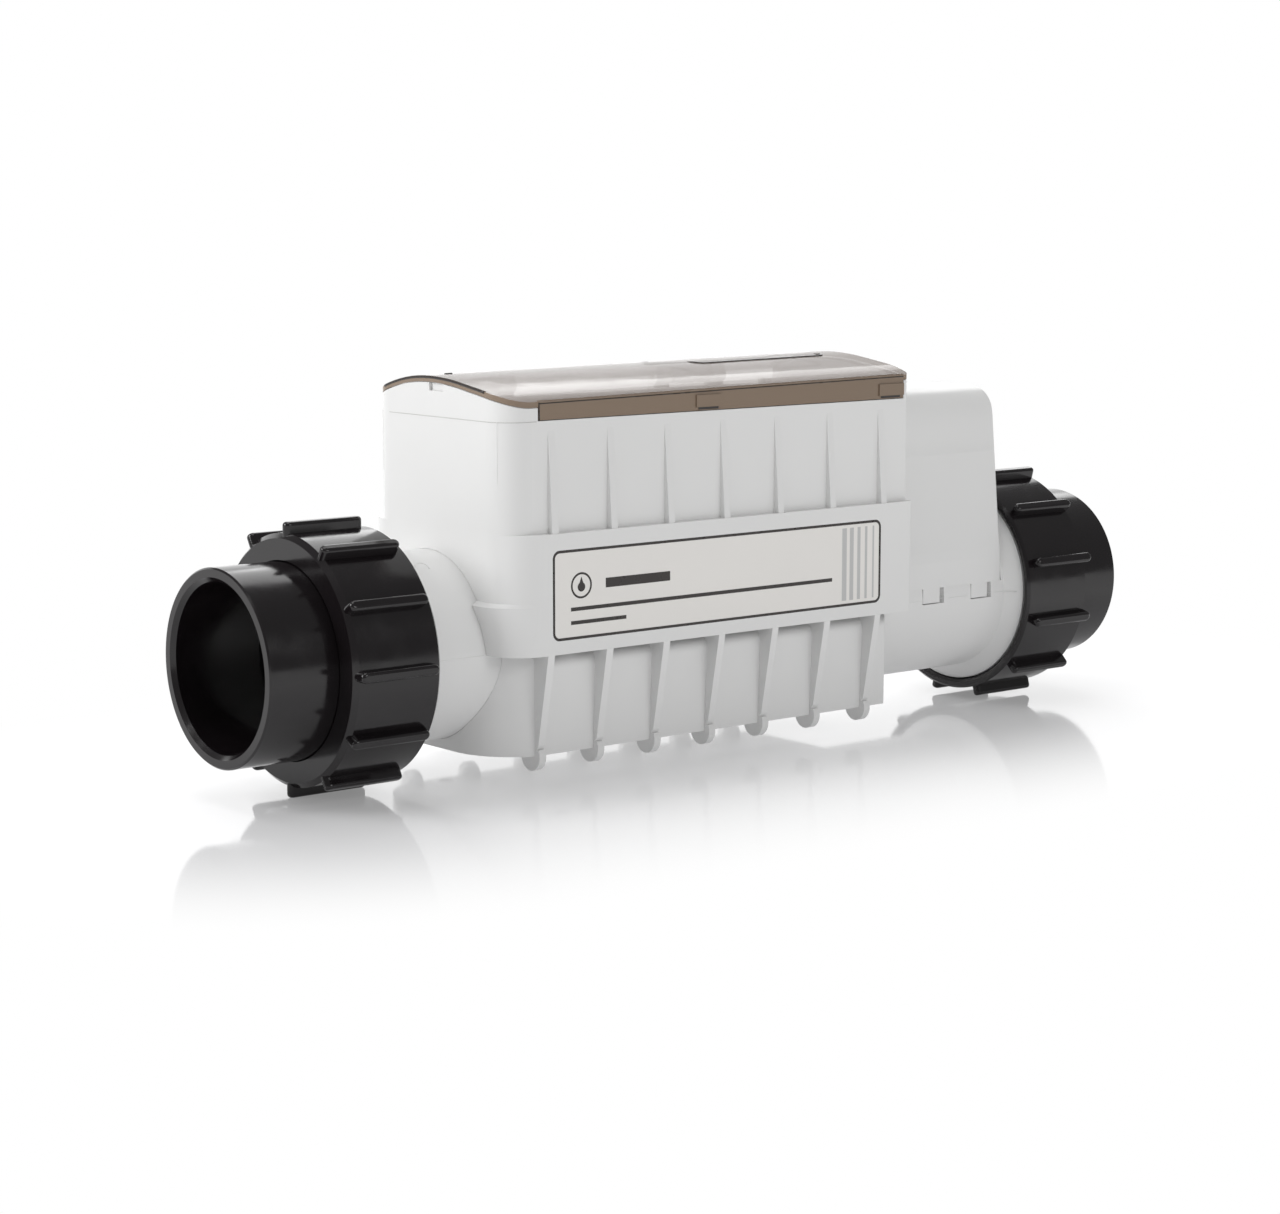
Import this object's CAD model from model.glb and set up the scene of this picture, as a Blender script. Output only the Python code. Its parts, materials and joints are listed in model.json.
import json
import math

import bmesh
import bpy
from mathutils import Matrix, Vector
from mathutils.bvhtree import BVHTree


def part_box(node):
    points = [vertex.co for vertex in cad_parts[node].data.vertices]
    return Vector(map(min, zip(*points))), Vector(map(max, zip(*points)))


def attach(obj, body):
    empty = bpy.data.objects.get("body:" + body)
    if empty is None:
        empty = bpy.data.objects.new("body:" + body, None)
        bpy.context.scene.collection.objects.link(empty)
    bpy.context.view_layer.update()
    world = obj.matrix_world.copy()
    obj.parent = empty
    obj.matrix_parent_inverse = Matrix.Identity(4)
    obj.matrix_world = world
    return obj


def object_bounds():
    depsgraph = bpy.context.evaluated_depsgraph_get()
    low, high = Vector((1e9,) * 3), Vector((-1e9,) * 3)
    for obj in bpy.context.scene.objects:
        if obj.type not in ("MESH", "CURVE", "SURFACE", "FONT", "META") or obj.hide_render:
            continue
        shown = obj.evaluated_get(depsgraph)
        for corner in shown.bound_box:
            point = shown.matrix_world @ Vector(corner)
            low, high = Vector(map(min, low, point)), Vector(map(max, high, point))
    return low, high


# Salt chlorine generator: materials, small printed and moulded details, floor, light and camera around the
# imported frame. Everything is in metres: X along the pipe, -Y the labelled front, Z up from the floor.

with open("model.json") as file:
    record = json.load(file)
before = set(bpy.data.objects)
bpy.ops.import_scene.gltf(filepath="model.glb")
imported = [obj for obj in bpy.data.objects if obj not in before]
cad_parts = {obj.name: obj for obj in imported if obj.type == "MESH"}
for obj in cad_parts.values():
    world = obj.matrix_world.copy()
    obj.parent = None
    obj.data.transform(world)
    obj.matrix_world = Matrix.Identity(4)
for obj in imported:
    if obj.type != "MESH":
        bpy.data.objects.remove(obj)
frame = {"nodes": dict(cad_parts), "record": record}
cad_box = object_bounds()

MM = 0.001
PRINT_RISE = 0.02 * MM      # how far printed marks stand proud of what they are printed on


# ---------------------------------------------------------------------------
# Materials
# ---------------------------------------------------------------------------
def new_material(name, colour, roughness, **sockets):
    """A Principled material with its uniform values set on the shader's own sockets."""
    material = bpy.data.materials.new(name)
    material.use_nodes = True
    shader = material.node_tree.nodes["Principled BSDF"]
    shader.inputs["Base Color"].default_value = (*colour, 1.0)
    shader.inputs["Roughness"].default_value = roughness
    for socket, value in sockets.items():
        shader.inputs[socket.replace("_", " ")].default_value = value
    return material, shader


def noise(material, scale, detail=3.0, stretch=(1.0, 1.0, 1.0)):
    """Noise in the object's own coordinates. The scale is in features per metre."""
    nodes, links = material.node_tree.nodes, material.node_tree.links
    place = nodes.new("ShaderNodeTexCoord")
    mapping = nodes.new("ShaderNodeMapping")
    mapping.inputs["Scale"].default_value = stretch
    texture = nodes.new("ShaderNodeTexNoise")
    texture.inputs["Scale"].default_value = scale
    texture.inputs["Detail"].default_value = detail
    links.new(place.outputs["Object"], mapping.inputs["Vector"])
    links.new(mapping.outputs["Vector"], texture.inputs["Vector"])
    return texture


def vary_colour(material, shader, scale, dark, light, stretch=(1.0, 1.0, 1.0)):
    """Base colour that drifts between two close tones."""
    nodes, links = material.node_tree.nodes, material.node_tree.links
    ramp = nodes.new("ShaderNodeValToRGB")
    ramp.color_ramp.elements[0].position = 0.3
    ramp.color_ramp.elements[1].position = 0.7
    ramp.color_ramp.elements[0].color = (*dark, 1.0)
    ramp.color_ramp.elements[1].color = (*light, 1.0)
    links.new(noise(material, scale, 4.0, stretch).outputs["Fac"], ramp.inputs["Fac"])
    links.new(ramp.outputs["Color"], shader.inputs["Base Color"])


def vary_roughness(material, shader, scale, low, high, stretch=(1.0, 1.0, 1.0)):
    """Roughness that drifts between two values, as handling and moulding leave it."""
    nodes, links = material.node_tree.nodes, material.node_tree.links
    spread = nodes.new("ShaderNodeMapRange")
    spread.inputs["From Min"].default_value = 0.3
    spread.inputs["From Max"].default_value = 0.7
    spread.inputs["To Min"].default_value = low
    spread.inputs["To Max"].default_value = high
    links.new(noise(material, scale, 3.0, stretch).outputs["Fac"], spread.inputs["Value"])
    links.new(spread.outputs["Result"], shader.inputs["Roughness"])


def grain(material, shader, scale, depth, strength=0.5, stretch=(1.0, 1.0, 1.0)):
    """Fine surface texture: depth in metres."""
    nodes, links = material.node_tree.nodes, material.node_tree.links
    bump = nodes.new("ShaderNodeBump")
    bump.inputs["Strength"].default_value = strength
    bump.inputs["Distance"].default_value = depth
    links.new(noise(material, scale, 2.0, stretch).outputs["Fac"], bump.inputs["Height"])
    links.new(bump.outputs["Normal"], shader.inputs["Normal"])


def moulded(name, tone, roughness, spread=0.06, contrast=0.03, grain_depth=0.02 * MM, **sockets):
    """Moulded plastic: slight flow marks in the tone, uneven satin and a fine spark-eroded grain."""
    material, shader = new_material(name, tone, roughness, **sockets)
    dark = tuple(channel * (1.0 - contrast) for channel in tone)
    vary_colour(material, shader, 28.0, dark, tone, (0.4, 1.0, 1.0))
    vary_roughness(material, shader, 90.0, roughness - spread, roughness + spread)
    grain(material, shader, 2600.0, grain_depth)
    return material


def brushed(name, tone, roughness, along=(0.05, 1.0, 1.0)):
    """Metal with fine lines along one direction."""
    material, shader = new_material(name, tone, roughness, Metallic=1.0)
    dark = tuple(channel * 0.82 for channel in tone)
    vary_colour(material, shader, 900.0, dark, tone, along)
    vary_roughness(material, shader, 1400.0, roughness - 0.08, roughness + 0.1, along)
    grain(material, shader, 2400.0, 0.01 * MM, 0.4, along)
    return material


def solder_mask(name):
    """Green board: copper tracks show as slightly lighter cells under the mask."""
    material, shader = new_material(name, (0.02, 0.16, 0.07), 0.35, Coat_Weight=0.3)
    nodes, links = material.node_tree.nodes, material.node_tree.links
    place = nodes.new("ShaderNodeTexCoord")
    tracks = nodes.new("ShaderNodeTexBrick")
    tracks.inputs["Scale"].default_value = 160.0
    tracks.inputs["Color1"].default_value = (0.02, 0.16, 0.07, 1.0)
    tracks.inputs["Color2"].default_value = (0.03, 0.20, 0.09, 1.0)
    tracks.inputs["Mortar"].default_value = (0.05, 0.28, 0.12, 1.0)
    tracks.inputs["Mortar Size"].default_value = 0.03
    links.new(place.outputs["Object"], tracks.inputs["Vector"])
    links.new(tracks.outputs["Color"], shader.inputs["Base Color"])
    vary_roughness(material, shader, 200.0, 0.28, 0.42)
    return material


def smoked(name):
    """Smoked polycarbonate: the top sheet is see-through, and the lip, seen edge on, is deep brown."""
    material, shader = new_material(name, (0.24, 0.185, 0.135), 0.07, IOR=1.58, Specular_IOR_Level=0.25)
    vary_roughness(material, shader, 60.0, 0.05, 0.12)
    grain(material, shader, 700.0, 0.008 * MM, 0.3)
    nodes, links = material.node_tree.nodes, material.node_tree.links
    place = nodes.new("ShaderNodeTexCoord")
    split = nodes.new("ShaderNodeSeparateXYZ")
    upright = nodes.new("ShaderNodeMath")
    upright.operation = "ABSOLUTE"
    links.new(place.outputs["Normal"], split.inputs["Vector"])
    links.new(split.outputs["Z"], upright.inputs[0])

    def by_tilt(level, steep):
        """A value for level faces that runs to another for upright ones."""
        spread = nodes.new("ShaderNodeMapRange")
        spread.inputs["From Min"].default_value = 0.85
        spread.inputs["From Max"].default_value = 0.35
        spread.inputs["To Min"].default_value = level
        spread.inputs["To Max"].default_value = steep
        links.new(upright.outputs["Value"], spread.inputs["Value"])
        return spread.outputs["Result"]

    # Where a face is upright, light has travelled a long way through the sheet
    links.new(by_tilt(0.62, 0.93), shader.inputs["Alpha"])
    tint = nodes.new("ShaderNodeMix")
    tint.data_type = "RGBA"
    tint.inputs["A"].default_value = (0.25, 0.19, 0.155, 1.0)
    tint.inputs["B"].default_value = (0.29, 0.215, 0.155, 1.0)
    links.new(by_tilt(0.0, 1.0), tint.inputs["Factor"])
    streaks = nodes.new("ShaderNodeMix")
    streaks.data_type = "RGBA"
    streaks.blend_type = "MULTIPLY"
    streaks.inputs["Factor"].default_value = 0.25
    links.new(tint.outputs["Result"], streaks.inputs["A"])
    links.new(noise(material, 14.0, 4.0, (0.3, 1.0, 1.0)).outputs["Fac"], streaks.inputs["B"])
    links.new(streaks.outputs["Result"], shader.inputs["Base Color"])
    return material


def light_guide(name, tone):
    """Clear light guide with a tinted face."""
    material, shader = new_material(name, tone, 0.15, Coat_Weight=0.6, Emission_Strength=0.15)
    shader.inputs["Emission Color"].default_value = (*tone, 1.0)
    vary_colour(material, shader, 500.0, tuple(channel * 0.7 for channel in tone), tone)
    vary_roughness(material, shader, 300.0, 0.1, 0.25)
    return material


finishes = {
    "white_plastic": moulded("white_abs", (0.80, 0.80, 0.795), 0.36, 0.05, 0.015, 0.015 * MM),
    "smoked_lid": smoked("smoked_polycarbonate"),
    "black_plastic": moulded("black_abs", (0.009, 0.007, 0.008), 0.16, 0.05, 0.25, 0.012 * MM),
    "gland_plastic": moulded("black_nylon", (0.022, 0.022, 0.023), 0.42, 0.08, 0.2, 0.03 * MM),
    "black_rubber": moulded("black_rubber", (0.016, 0.016, 0.016), 0.68, 0.08, 0.3, 0.05 * MM),
    "label_field": moulded("label_field", (0.86, 0.84, 0.81), 0.33, 0.05, 0.03, 0.01 * MM),
    "label_edge": moulded("label_ink", (0.030, 0.024, 0.022), 0.28, 0.05, 0.25, 0.01 * MM),
    "panel_plastic": moulded("panel_grey", (0.56, 0.56, 0.56), 0.45),
    "overlay_film": moulded("overlay_film", (0.76, 0.75, 0.78), 0.40, 0.06, 0.06),
    "key_rubber": moulded("key_rubber", (0.10, 0.17, 0.27), 0.60, 0.08, 0.1, 0.04 * MM),
    "green_light": light_guide("green_light_guide", (0.10, 0.50, 0.15)),
    "red_light": light_guide("red_light_guide", (0.60, 0.09, 0.05)),
    "board": solder_mask("board_mask"),
    "component_black": moulded("component_black", (0.03, 0.03, 0.033), 0.5, 0.08, 0.2),
    "led_clear": moulded("led_epoxy", (0.75, 0.75, 0.71), 0.18, 0.05, 0.05, 0.005 * MM, Coat_Weight=0.5),
    "heat_sink_metal": brushed("extruded_aluminium", (0.76, 0.77, 0.79), 0.34),
    "terminal_green": moulded("terminal_green", (0.04, 0.27, 0.14), 0.42),
    "steel": brushed("stainless_steel", (0.66, 0.65, 0.63), 0.26, (1.0, 1.0, 0.1)),
    "titanium": brushed("coated_titanium", (0.34, 0.33, 0.325), 0.42),
    "grey_plastic": moulded("grey_abs", (0.58, 0.58, 0.565), 0.46),
    "magnet": moulded("coated_ferrite", (0.055, 0.055, 0.06), 0.5, 0.08, 0.2, Metallic=0.5),
    "reed_glass": moulded("reed_glass", (0.55, 0.68, 0.60), 0.08, 0.03, 0.05, 0.002 * MM, Alpha=0.45),
}
for part in frame["record"]["subparts"]:
    materials = frame["nodes"][part["node"]].data.materials
    materials.clear()
    materials.append(finishes[part["material_slot"]])


# ---------------------------------------------------------------------------
# Building pieces
# ---------------------------------------------------------------------------
def add_piece(name, mesh, body, slot, smooth=False):
    """Turns a bmesh into a piece that rides on a body and takes its finish from a slot."""
    bmesh.ops.recalc_face_normals(mesh, faces=mesh.faces)
    data = bpy.data.meshes.new(name)
    mesh.to_mesh(data)
    mesh.free()
    piece = bpy.data.objects.new(name, data)
    bpy.context.scene.collection.objects.link(piece)
    data.materials.append(finishes[slot])
    for polygon in data.polygons:
        polygon.use_smooth = smooth
    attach(piece, body)
    return piece


def prism(mesh, outline, lift):
    """A plate: the outline's points, and the same points moved by lift."""
    near = [mesh.verts.new(point) for point in outline]
    far = [mesh.verts.new(point + lift) for point in outline]
    mesh.faces.new(near)
    mesh.faces.new(list(reversed(far)))
    count = len(outline)
    for i in range(count):
        j = (i + 1) % count
        mesh.faces.new((near[i], near[j], far[j], far[i]))


def rounded_outline(width, height, radius, steps=6):
    """Points round a rounded rectangle about the origin, as pairs."""
    points = []
    for quarter, (side_x, side_y) in enumerate(((1, 1), (-1, 1), (-1, -1), (1, -1))):
        for step in range(steps + 1):
            angle = math.radians(90.0 * quarter + 90.0 * step / steps)
            points.append((side_x * (width / 2 - radius) + radius * math.cos(angle),
                           side_y * (height / 2 - radius) + radius * math.sin(angle)))
    return points


def ring_on(mesh, outer, inner, lift):
    """A raised frame between two outlines with the same number of points."""
    count = len(outer)
    base_out = [mesh.verts.new(point) for point in outer]
    base_in = [mesh.verts.new(point) for point in inner]
    top_out = [mesh.verts.new(point + lift) for point in outer]
    top_in = [mesh.verts.new(point + lift) for point in inner]
    for i in range(count):
        j = (i + 1) % count
        mesh.faces.new((top_out[i], top_out[j], top_in[j], top_in[i]))
        mesh.faces.new((base_out[i], base_in[i], base_in[j], base_out[j]))
        mesh.faces.new((base_out[i], base_out[j], top_out[j], top_out[i]))
        mesh.faces.new((base_in[i], top_in[i], top_in[j], base_in[j]))


def surface_of(node):
    """A tree of the node's faces, to find points on it."""
    data = frame["nodes"][node].data
    return BVHTree.FromPolygons([vertex.co for vertex in data.vertices],
                                [tuple(polygon.vertices) for polygon in data.polygons])


# ---------------------------------------------------------------------------
# Label: plain generic marks
# ---------------------------------------------------------------------------
def label_marks():
    """A drop in a ring, three rules and a row of upright bars. No lettering."""
    low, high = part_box("label_plate")
    face_y = low.y
    width, height = high.x - low.x, high.z - low.z
    proud = Vector((0.0, -PRINT_RISE, 0.0))

    def plate(mesh, pairs):
        prism(mesh, [Vector((x, face_y, z)) for x, z in pairs], proud)

    def bar(mesh, start, end, z_mid, thick):
        """Level bar between two shares of the width, with its thickness as a share of the height."""
        x_from, x_to, half = low.x + start * width, low.x + end * width, thick * height / 2
        plate(mesh, [(x_from, z_mid - half), (x_to, z_mid - half),
                     (x_to, z_mid + half), (x_from, z_mid + half)])

    def circle(radius):
        turns = [2 * math.pi * i / 48 for i in range(48)]
        return [Vector((mark.x + radius * math.cos(turn), face_y, mark.z + radius * math.sin(turn)))
                for turn in turns]

    # Drop inside a ring: an arc of 300 degrees closed by a point above it
    mark = Vector((low.x + 0.075 * width, 0.0, low.z + 0.60 * height))
    ring_r = 0.155 * height
    drop_r, drop_low, drop_tip = 0.36 * ring_r, 0.12 * ring_r, 0.66 * ring_r
    dark = bmesh.new()
    ring_on(dark, circle(ring_r), circle(0.84 * ring_r), proud)
    drop = []
    for i in range(33):
        angle = math.radians(-240.0 + 300.0 * i / 32)
        drop.append((mark.x + drop_r * math.cos(angle), mark.z - drop_low + drop_r * math.sin(angle)))
    drop.append((mark.x, mark.z + drop_tip))
    plate(dark, drop)
    # Rules beside and below the mark
    bar(dark, 0.145, 0.335, mark.z, 0.115)
    bar(dark, 0.045, 0.845, low.z + 0.325 * height, 0.045)
    bar(dark, 0.045, 0.205, low.z + 0.165 * height, 0.045)
    add_piece("label_marks", dark, "housing", "label_edge")
    # Upright bars that get thinner towards the outlet end
    pale = bmesh.new()
    margin = 0.04 * height
    for i in range(5):
        centre = low.x + (0.885 + 0.024 * i) * width
        half = (0.0075 - 0.0012 * i) * width
        plate(pale, [(centre - half, low.z + margin), (centre + half, low.z + margin),
                     (centre + half, high.z - margin), (centre - half, high.z - margin)])
    add_piece("label_bars", pale, "housing", "panel_plastic")


label_marks()


# ---------------------------------------------------------------------------
# Shapes that follow a surface
# ---------------------------------------------------------------------------
def tube_along(mesh, line, radius, sides=10):
    """Round bead along a line of points that doesn't run straight up."""
    rings = []
    for i, point in enumerate(line):
        ahead = (line[min(i + 1, len(line) - 1)] - line[max(i - 1, 0)]).normalized()
        across = ahead.cross(Vector((0.0, 0.0, 1.0))).normalized()
        above = across.cross(ahead)
        turns = [2 * math.pi * side / sides for side in range(sides)]
        rings.append([mesh.verts.new(point + radius * (math.cos(turn) * across + math.sin(turn) * above))
                      for turn in turns])
    for here, beyond in zip(rings, rings[1:]):
        for side in range(sides):
            after = (side + 1) % sides
            mesh.faces.new((here[side], here[after], beyond[after], beyond[side]))
    mesh.faces.new(rings[0])
    mesh.faces.new(list(reversed(rings[-1])))


def disc(mesh, centre, radius, lift, sides=32):
    """Flat round plate lying on a level surface."""
    turns = [2 * math.pi * side / sides for side in range(sides)]
    outline = [centre + Vector((radius * math.cos(turn), radius * math.sin(turn), 0.0)) for turn in turns]
    prism(mesh, outline, lift)


def level_bar(mesh, centre, length, width, lift):
    """Round-ended bar along X on a level surface."""
    outline = [centre + Vector((x, y, 0.0)) for x, y in rounded_outline(length, width, 0.49 * width, 4)]
    prism(mesh, outline, lift)


# ---------------------------------------------------------------------------
# Lid: rolled front edge, dark end edge and lip lines, a plain raised frame and small dashes on top
# ---------------------------------------------------------------------------
def lid_details():
    """Everything here follows the lid's own top surface, which is sampled from above."""
    low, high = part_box("lid")
    sheet = surface_of("lid")
    lip_start = low.x + 14.4 * MM       # inlet end of the front lip
    lip_span = high.x - 3.0 * MM - lip_start
    lip_face = low.y + 0.6 * MM         # the latch tabs stand this far in front of the lip
    turn_down = low.y + 1.25 * MM       # where the top turns down into the lip

    def on_top(x, y):
        return sheet.ray_cast(Vector((x, y, 1.0)), Vector((0.0, 0.0, -1.0)))[0]

    def along_lip(shift):
        return [on_top(lip_start + lip_span * i / 40, turn_down) + shift for i in range(41)]

    def outline_on_top(x, y, width, depth, corner, steps):
        return [on_top(x + dx, y + dy) for dx, dy in rounded_outline(width, depth, corner, steps)]

    def upright_plate(mesh, corners, y, thick):
        prism(mesh, [Vector((x, y, z)) for x, z in corners], Vector((0.0, -thick, 0.0)))

    # Rolled edge where the top meets the front lip
    roll_r, roll_sink = 0.5 * MM, 0.32 * MM
    roll = bmesh.new()
    tube_along(roll, along_lip(Vector((0.0, 0.0, -roll_sink))), roll_r)
    add_piece("lid_front_roll", roll, "lid", "smoked_lid", smooth=True)

    # Inlet end of the sheet, where light gathers in its edge and it looks dark
    edge_r, edge_sink = 0.62 * MM, 0.45 * MM
    edge_back, edge_front = high.y - 9.0 * MM, low.y + 13.0 * MM
    line = []
    for i in range(49):
        y = edge_back + (edge_front - edge_back) * i / 48
        line.append(on_top(low.x + edge_sink, y) + Vector((0.0, 0.0, -edge_sink)))
    edge = bmesh.new()
    tube_along(edge, line, edge_r)
    add_piece("lid_end_edge", edge, "lid", "label_edge", smooth=True)

    # Dark lines under the roll and down the lip's inlet end
    lines = bmesh.new()
    tube_along(lines, along_lip(Vector((0.0, lip_face - turn_down, -1.0 * MM))), 0.2 * MM)
    top_z = on_top(lip_start, turn_down).z - 0.6 * MM
    foot, head = 0.6 * MM, 0.4 * MM
    upright_plate(lines, [(lip_start, low.z), (lip_start + foot, low.z),
                          (lip_start + head, top_z), (lip_start, top_z)], lip_face, 0.1 * MM)
    add_piece("lid_lip_lines", lines, "lid", "label_edge", smooth=True)

    # Plain raised frame near the outlet end
    x, y = high.x - 46.0 * MM, 4.0 * MM
    width, depth, rim, corner = 66.0 * MM, 36.0 * MM, 0.8 * MM, 4.0 * MM
    raised = bmesh.new()
    ring_on(raised, outline_on_top(x, y, width, depth, corner, 8),
            outline_on_top(x, y, width - 2 * rim, depth - 2 * rim, corner - rim, 8),
            Vector((0.0, 0.0, 0.4 * MM)))
    add_piece("lid_frame", raised, "lid", "label_edge")

    # Moulding dashes
    dashes = bmesh.new()
    for x, y in ((low.x + 12.0 * MM, 4.0 * MM), (-8.0 * MM, 14.0 * MM)):
        prism(dashes, outline_on_top(x, y, 3.2 * MM, 1.2 * MM, 0.5 * MM, 3), Vector((0.0, 0.0, 0.35 * MM)))
    add_piece("lid_dashes", dashes, "lid", "label_edge")

    # Dark slots at the foot of the two latch tabs
    slots = bmesh.new()
    inset, slot_low, slot_high = 1.2 * MM, low.z + 0.3 * MM, low.z + 1.35 * MM
    for tab_start, tab_end in ((-33.5 * MM, -21.5 * MM), (58.5 * MM, high.x - 3.5 * MM)):
        upright_plate(slots, [(tab_start + inset, slot_low), (tab_end - inset, slot_low),
                              (tab_end - inset, slot_high), (tab_start + inset, slot_high)],
                      low.y + 0.7 * MM, 0.25 * MM)
    add_piece("lid_tab_slots", slots, "lid", "label_edge")


lid_details()


# ---------------------------------------------------------------------------
# Control panel: icons on the keys and rules by the lights
# ---------------------------------------------------------------------------
def key_icon(node, body, draw):
    """White mark on top of one key."""
    low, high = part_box(node)
    top = Vector(((low.x + high.x) / 2, (low.y + high.y) / 2, high.z))
    mesh = bmesh.new()
    draw(mesh, top, Vector((0.0, 0.0, 3 * PRINT_RISE)))
    add_piece(node + "_icon", mesh, body, "white_plastic")


def minus_icon(mesh, top, lift):
    level_bar(mesh, top, 4.6 * MM, 1.0 * MM, lift)


def plus_icon(mesh, top, lift):
    half, arm = 0.5 * MM, 2.3 * MM
    corners = ((half, half), (half, arm), (-half, arm), (-half, half), (-arm, half), (-arm, -half),
               (-half, -half), (-half, -arm), (half, -arm), (half, -half), (arm, -half), (arm, half))
    prism(mesh, [top + Vector((x, y, 0.0)) for x, y in corners], lift)


def chevron_icon(mesh, top, lift):
    for shift in (-0.6 * MM, 0.9 * MM):
        corners = ((-2.0, -0.9), (0.0, 0.6), (2.0, -0.9), (2.0, 0.1), (0.0, 1.6), (-2.0, 0.1))
        prism(mesh, [top + Vector((x * MM, y * MM - 0.4 * MM + shift, 0.0)) for x, y in corners], lift)


def dot_icon(mesh, top, lift):
    disc(mesh, top + Vector((0.0, 1.7 * MM, 0.0)), 0.6 * MM, lift, 20)
    level_bar(mesh, top + Vector((0.0, -0.6 * MM, 0.0)), 1.1 * MM, 3.0 * MM, lift)


def panel_marks():
    """A dash over each output light, longer for each step, and a rule under each row of lights."""
    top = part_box("panel_overlay")[1].z
    level_low, level_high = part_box("output_level_lights")
    warning_low, warning_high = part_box("warning_lights")
    lift = Vector((0.0, 0.0, 3 * PRINT_RISE))
    marks = bmesh.new()
    away = 3.0 * MM
    light_width = level_high.y - level_low.y
    pitch = (level_high.x - level_low.x - light_width) / 4
    first = level_low.x + light_width / 2
    for step in range(5):
        place = Vector((first + step * pitch, level_high.y + away, top))
        level_bar(marks, place, (2.0 + 1.5 * step) * MM, 1.0 * MM, lift)
    for low, high in ((level_low, level_high), (warning_low, warning_high)):
        place = Vector(((low.x + high.x) / 2, low.y - away, top))
        level_bar(marks, place, high.x - low.x, 0.5 * MM, lift)
    add_piece("panel_marks", marks, "housing", "component_black")


key_icon("button_less", "less_key", minus_icon)
key_icon("button_more", "more_key", plus_icon)
key_icon("button_boost", "boost_key", chevron_icon)
key_icon("button_info", "info_key", dot_icon)
panel_marks()


# ---------------------------------------------------------------------------
# Tube, bezel and cover: parting lines, gate mark, seam and small pips
# ---------------------------------------------------------------------------
def neck_details():
    """Raised parting lines at the pipe's height, and the arc left by the moulding gate."""
    tube = surface_of("cell_tube")
    tail_low, tail_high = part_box("inlet_tailpiece")
    axis_z = (tail_low.z + tail_high.z) / 2
    shell_low, shell_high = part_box("lower_housing")
    nut_gap, aside = 0.5 * MM, 200.0 * MM
    lines = bmesh.new()
    stretches = ((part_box("inlet_nut")[1].x + nut_gap, shell_low.x - 0.2 * MM),
                 (shell_high.x + 6.5 * MM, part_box("outlet_nut")[0].x - nut_gap))
    for x_from, x_to in stretches:
        for side in (-1, 1):
            line = []
            for i in range(15):
                start = Vector((x_from + (x_to - x_from) * i / 14, side * aside, axis_z + 0.1 * MM))
                line.append(tube.ray_cast(start, Vector((0.0, -side, 0.0)))[0])
            tube_along(lines, line, 0.14 * MM, 6)
    add_piece("parting_lines", lines, "housing", "white_plastic", smooth=True)

    # A little over half a turn of a small circle, laid on the inlet neck
    neck_r, gate_r = 34.7 * MM, 2.6 * MM
    x_mid, turn_mid = shell_low.x - 13.5 * MM, math.radians(27.0)
    gate = []
    for i in range(15):
        angle = math.radians(-35.0 + 200.0 * i / 14)
        x = x_mid + gate_r * math.cos(angle)
        turn = turn_mid - gate_r * math.sin(angle) / neck_r
        gate.append(Vector((x, -neck_r * math.sin(turn), axis_z + neck_r * math.cos(turn))))
    arc = bmesh.new()
    tube_along(arc, gate, 0.22 * MM, 8)
    add_piece("gate_arc", arc, "housing", "white_plastic", smooth=True)


def bezel_seam():
    """Fine shadow line where the bezel sits on the housing, round the inlet end."""
    housing = surface_of("upper_housing")
    low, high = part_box("top_bezel")
    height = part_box("upper_housing")[1].z - 0.2 * MM
    corner_r, reach = 11.5 * MM, 60.0 * MM
    corner = Vector((low.x + corner_r, low.y + corner_r, height))
    back = high.y - 4.0 * MM
    # Rays from outside, at the front wall, round the corner and along the inlet end
    rays = [(Vector((corner.x + 2.0 * MM, low.y - reach, height)), Vector((0.0, 1.0, 0.0)))]
    for i in range(13):
        angle = math.radians(270.0 - 90.0 * i / 12)
        out = Vector((math.cos(angle), math.sin(angle), 0.0))
        rays.append((corner + reach * out, -out))
    for i in range(1, 9):
        y = corner.y + (back - corner.y) * i / 8
        rays.append((Vector((low.x - reach, y, height)), Vector((1.0, 0.0, 0.0))))
    hits = [housing.ray_cast(start, way)[0] for start, way in rays]
    seam = bmesh.new()
    tube_along(seam, [point for point in hits if point], 0.16 * MM, 8)
    add_piece("bezel_seam", seam, "housing", "grey_plastic", smooth=True)


def cover_pips():
    """Three low pips on top of the flow switch cover, beside the housing."""
    cover = surface_of("flow_switch_cover")
    cover_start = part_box("flow_switch_cover")[0].x
    pip_y, pip_r, flatness = -6.0 * MM, 1.2 * MM, 0.45
    pips = bmesh.new()
    for number in range(3):
        x = cover_start + (9.0 + 6.0 * number) * MM
        top = cover.ray_cast(Vector((x, pip_y, 1.0)), Vector((0.0, 0.0, -1.0)))[0]
        made = bmesh.ops.create_uvsphere(pips, u_segments=16, v_segments=8, radius=pip_r)
        for vertex in made["verts"]:
            vertex.co = Vector((vertex.co.x, vertex.co.y, flatness * vertex.co.z)) + top
    add_piece("cover_pips", pips, "housing", "white_plastic", smooth=True)


neck_details()
bezel_seam()
cover_pips()


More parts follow.
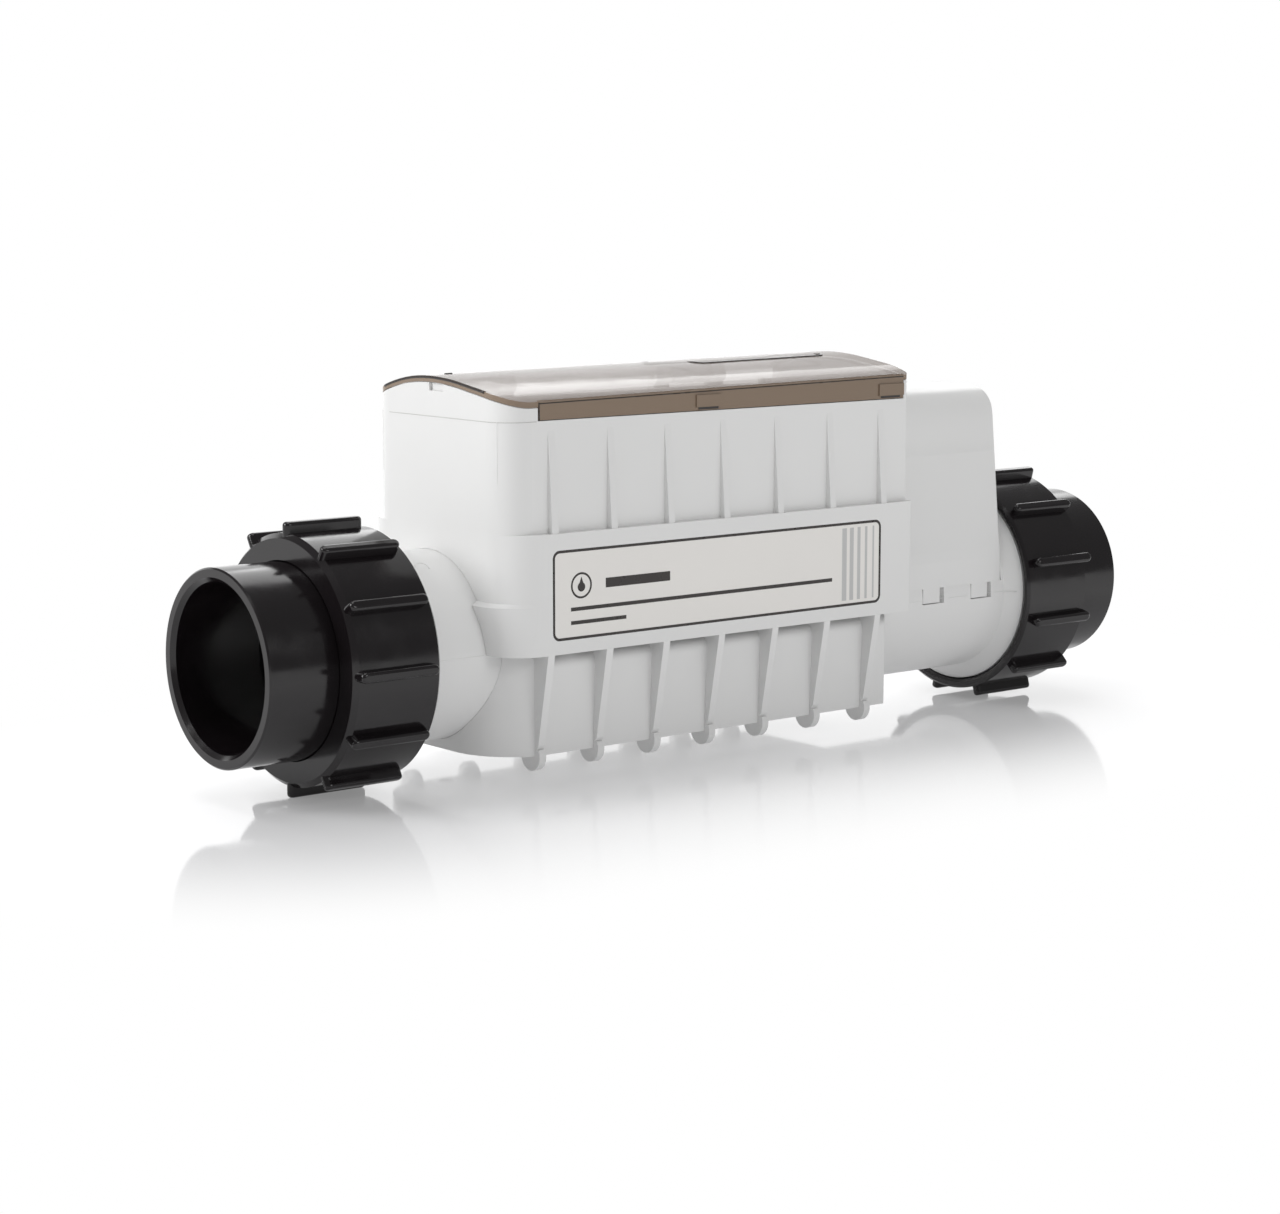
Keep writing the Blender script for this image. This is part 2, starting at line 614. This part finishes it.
# ---------------------------------------------------------------------------
# Floor, light and camera
# ---------------------------------------------------------------------------
def make_floor():
    """Plain white floor with a faint mirror image, lost in white away from the object."""
    half_size, below = 30.0, 0.05 * MM
    end_margin, fade_start, fade_end = 0.03, 0.05, 0.19
    mesh = bmesh.new()
    bmesh.ops.create_grid(mesh, x_segments=1, y_segments=1, size=half_size)
    data = bpy.data.meshes.new("floor")
    mesh.to_mesh(data)
    mesh.free()
    floor = bpy.data.objects.new("floor", data)
    floor.location.z = cad_box[0].z - below
    bpy.context.scene.collection.objects.link(floor)
    material, shader = new_material("floor_white", (0.62, 0.62, 0.63), 0.07, Specular_IOR_Level=0.5,
                                    Emission_Strength=0.22)
    shader.inputs["Emission Color"].default_value = (1.0, 1.0, 1.0, 1.0)
    nodes, links = material.node_tree.nodes, material.node_tree.links
    glow = nodes.new("ShaderNodeEmission")
    glow.inputs["Color"].default_value = (1.0, 1.0, 1.0, 1.0)
    glow.inputs["Strength"].default_value = 1.0

    def vector_step(operation, feed, value=(0.0, 0.0, 0.0)):
        step = nodes.new("ShaderNodeVectorMath")
        step.operation = operation
        step.inputs[1].default_value = value
        links.new(feed, step.inputs[0])
        return step

    # Distance from a line on the floor along the object, which stops short of both its ends
    place = nodes.new("ShaderNodeTexCoord")
    either_side = vector_step("ABSOLUTE", place.outputs["Object"])
    past_end = vector_step("SUBTRACT", either_side.outputs["Vector"], (cad_box[1].x - end_margin, 0.0, 0.0))
    outside = vector_step("MAXIMUM", past_end.outputs["Vector"])
    distance = vector_step("LENGTH", outside.outputs["Vector"])
    fade = nodes.new("ShaderNodeMapRange")
    fade.interpolation_type = "SMOOTHSTEP"
    fade.inputs["From Min"].default_value = fade_start
    fade.inputs["From Max"].default_value = fade_end
    links.new(distance.outputs["Value"], fade.inputs["Value"])
    mix = nodes.new("ShaderNodeMixShader")
    links.new(fade.outputs["Result"], mix.inputs["Fac"])
    links.new(shader.outputs["BSDF"], mix.inputs[1])
    links.new(glow.outputs["Emission"], mix.inputs[2])
    links.new(mix.outputs["Shader"], nodes["Material Output"].inputs["Surface"])
    data.materials.append(material)


def make_world():
    """White backdrop for the camera, dimmer as a light."""
    ambient = 0.24
    world = bpy.data.worlds.new("studio")
    world.use_nodes = True
    bpy.context.scene.world = world
    nodes, links = world.node_tree.nodes, world.node_tree.links
    background = nodes["Background"]
    background.inputs["Color"].default_value = (1.0, 1.0, 1.0, 1.0)
    path = nodes.new("ShaderNodeLightPath")
    spread = nodes.new("ShaderNodeMapRange")
    spread.inputs["To Min"].default_value = ambient
    spread.inputs["To Max"].default_value = 1.0
    links.new(path.outputs["Is Camera Ray"], spread.inputs["Value"])
    links.new(spread.outputs["Result"], background.inputs["Strength"])


def soft_light(name, place, target, size, power):
    """Rectangular softbox facing a point."""
    light = bpy.data.lights.new(name, "AREA")
    light.shape = "RECTANGLE"
    light.size, light.size_y = size
    light.energy = power
    lamp = bpy.data.objects.new(name, light)
    lamp.location = place
    lamp.rotation_euler = (Vector(target) - Vector(place)).to_track_quat("-Z", "Y").to_euler()
    bpy.context.scene.collection.objects.link(lamp)


def make_camera():
    """Camera at the height and heading that the object is seen from."""
    data = bpy.data.cameras.new("camera")
    data.sensor_width = 36.0
    data.lens = 81.24
    camera = bpy.data.objects.new("camera", data)
    camera.location = (-0.7131, -0.8550, 0.2131)
    camera.rotation_euler = (math.radians(81.744), 0.0, math.radians(-38.957))
    bpy.context.scene.collection.objects.link(camera)
    bpy.context.scene.camera = camera


make_floor()
make_world()
middle = (0.0, 0.0, 0.07)       # near the object's middle, which most softboxes face
soft_light("inlet_softbox", (-1.5, 0.6, 0.9), middle, (0.9, 0.9), 20.0)
soft_light("top_softbox", (-0.2, 0.1, 1.5), middle, (1.2, 0.9), 7.0)
soft_light("back_softbox", (0.9, 1.6, 0.60), (0.0, 0.0, 0.10), (3.0, 1.2), 12.5)
soft_light("crown_softbox", (1.0, 0.96, 1.21), middle, (1.0, 1.15), 7.0)
soft_light("front_softbox", (0.2, -1.7, 0.9), middle, (1.0, 0.6), 6.5)
make_camera()
bpy.context.scene.view_settings.view_transform = "Standard"
